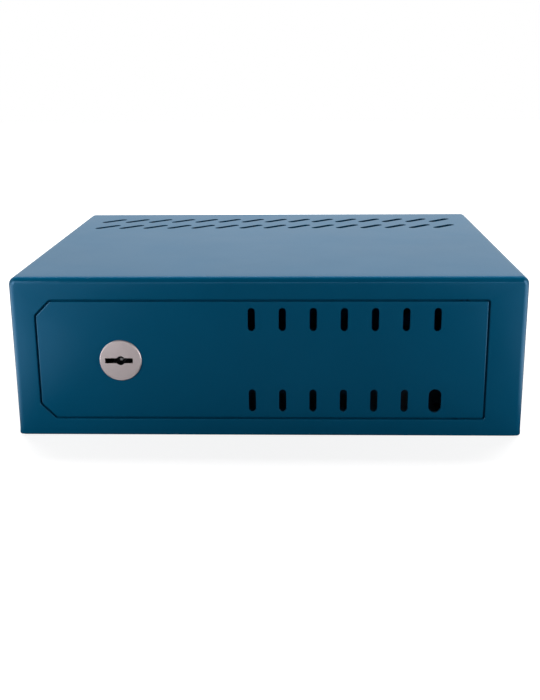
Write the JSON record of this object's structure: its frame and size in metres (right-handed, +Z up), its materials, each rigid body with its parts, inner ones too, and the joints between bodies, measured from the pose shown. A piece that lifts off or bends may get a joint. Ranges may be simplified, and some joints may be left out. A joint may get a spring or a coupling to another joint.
{
  "type": "dvr lock box",
  "caption": "Low ventilated steel lock box for a video recorder: flush hinged door with slots, double-bit lever lock with two bolts, and cable entries at the back.",
  "frame": {"origin": "centre of the base, on the surface that the box stands on", "axes": "+Z up, +X to the right as seen from the front, +Y from the door to the back panel"},
  "size_m": [0.42, 0.3382, 0.135],
  "materials": {
    "paint_petrol_blue": "glossy petrol-blue paint on steel, smooth",
    "paint_inside": "petrol-blue paint on welded inner steel parts",
    "satin_steel": "satin nickel-plated steel disc",
    "zinc_steel": "bright zinc-plated steel",
    "lock_brass": "plain machined brass",
    "bolt_steel": "turned bright steel",
    "spring_steel": "blued spring steel",
    "black_rubber": "matt black rubber",
    "black_nylon": "black moulded nylon"
  },
  "bodies": {
    "cabinet": {"cabinet_shell": "paint_petrol_blue", "base_plate": "paint_petrol_blue", "front_frame": "paint_petrol_blue", "back_panel": "paint_petrol_blue", "cable_grommet_left": "black_rubber", "cable_grommet_right": "black_rubber", "hinge_tab_upper": "paint_inside", "hinge_tab_lower": "paint_inside", "hinge_washer_upper": "black_nylon", "hinge_washer_lower": "black_nylon", "door_stop_upper": "paint_inside", "door_stop_lower": "paint_inside", "bolt_keeper": "paint_inside"},
    "door": {"door_panel": "paint_petrol_blue", "hinge_barrel_upper": "paint_inside", "hinge_barrel_lower": "paint_inside", "hinge_pin_upper": "bolt_steel", "hinge_pin_lower": "bolt_steel", "hinge_grub_screw": "spring_steel", "lock_rosette": "satin_steel", "lock_case": "zinc_steel", "lock_cover": "zinc_steel", "lock_cover_screws": "zinc_steel", "lock_studs": "zinc_steel", "lock_nuts": "zinc_steel", "lock_posts": "zinc_steel", "key_pin": "bolt_steel", "lever_pivot": "bolt_steel", "lever_spacer": "lock_brass", "lever_springs": "spring_steel"},
    "key_rotor": {"key_rotor": "bolt_steel"},
    "lock_bolts": {"bolt_carriage": "zinc_steel", "bolt_stump": "bolt_steel", "lock_bolt_upper": "bolt_steel", "lock_bolt_lower": "bolt_steel"},
    "levers": {"lever_1": "lock_brass", "lever_2": "lock_brass", "lever_3": "lock_brass", "lever_4": "lock_brass", "lever_5": "lock_brass", "lever_6": "lock_brass"}
  },
  "joints": [
    {"name": "door_hinge", "type": "hinge", "parent": "cabinet", "child": "door", "pos_m": [0.1589, -0.1595, 0.0655], "axis": [0, 0, 1], "range_deg": [0, 110]},
    {"name": "key_turn", "type": "hinge", "parent": "door", "child": "key_rotor", "pos_m": [-0.1208, -0.165, 0.0655], "axis": [0, 1, 0], "range_deg": [0, 90]},
    {"name": "bolt_slide", "type": "slide", "parent": "door", "child": "lock_bolts", "axis": [-1, 0, 0], "range_m": [0, 0.01202]},
    {"name": "lever_lift", "type": "hinge", "parent": "door", "child": "levers", "pos_m": [-0.0938, -0.165, 0.0655], "axis": [0, 1, 0], "range_deg": [0, 3.4], "deforming": ["lever_springs"]}
  ],
  "couplings": [
    {"joint": "key_turn", "follows": "bolt_slide", "rad_per_m": 130.67},
    {"joint": "lever_lift", "follows": "bolt_slide", "rad_per_m": 4.9365}
  ]
}
